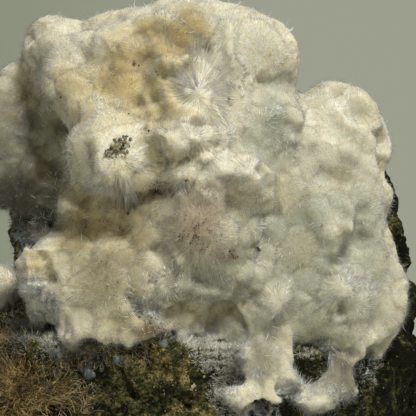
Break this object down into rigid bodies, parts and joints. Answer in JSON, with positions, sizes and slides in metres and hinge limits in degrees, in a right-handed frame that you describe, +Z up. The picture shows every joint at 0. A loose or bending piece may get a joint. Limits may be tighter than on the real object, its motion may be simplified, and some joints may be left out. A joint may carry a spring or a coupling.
{
  "type": "okenite puffball cluster on basalt",
  "caption": "Fused white and cream okenite puffballs with fine radiating needles on a flat-bottomed block of dark basalt, with a small okenite fan and a brown fibre pad.",
  "frame": {"origin": "on the flat underside that the specimen rests on, below the middle of the puffballs", "axes": "+Z up, -Y towards the side that carries the puffballs, +X to the right seen from that side"},
  "size_m": [0.0818, 0.0533, 0.0789],
  "materials": {
    "basalt": "matt dark green-grey basalt with ochre speckle",
    "okenite": "felted white to cream fibres with a silky gloss, stained honey and tan in places",
    "stained_fibre": "matted curly fibres stained brown by iron"
  },
  "bodies": {
    "root": {"basalt_matrix": "basalt", "okenite_cluster": "okenite", "okenite_tuft_left": "okenite", "brown_fibre_mat": "stained_fibre"}
  },
  "joints": []
}
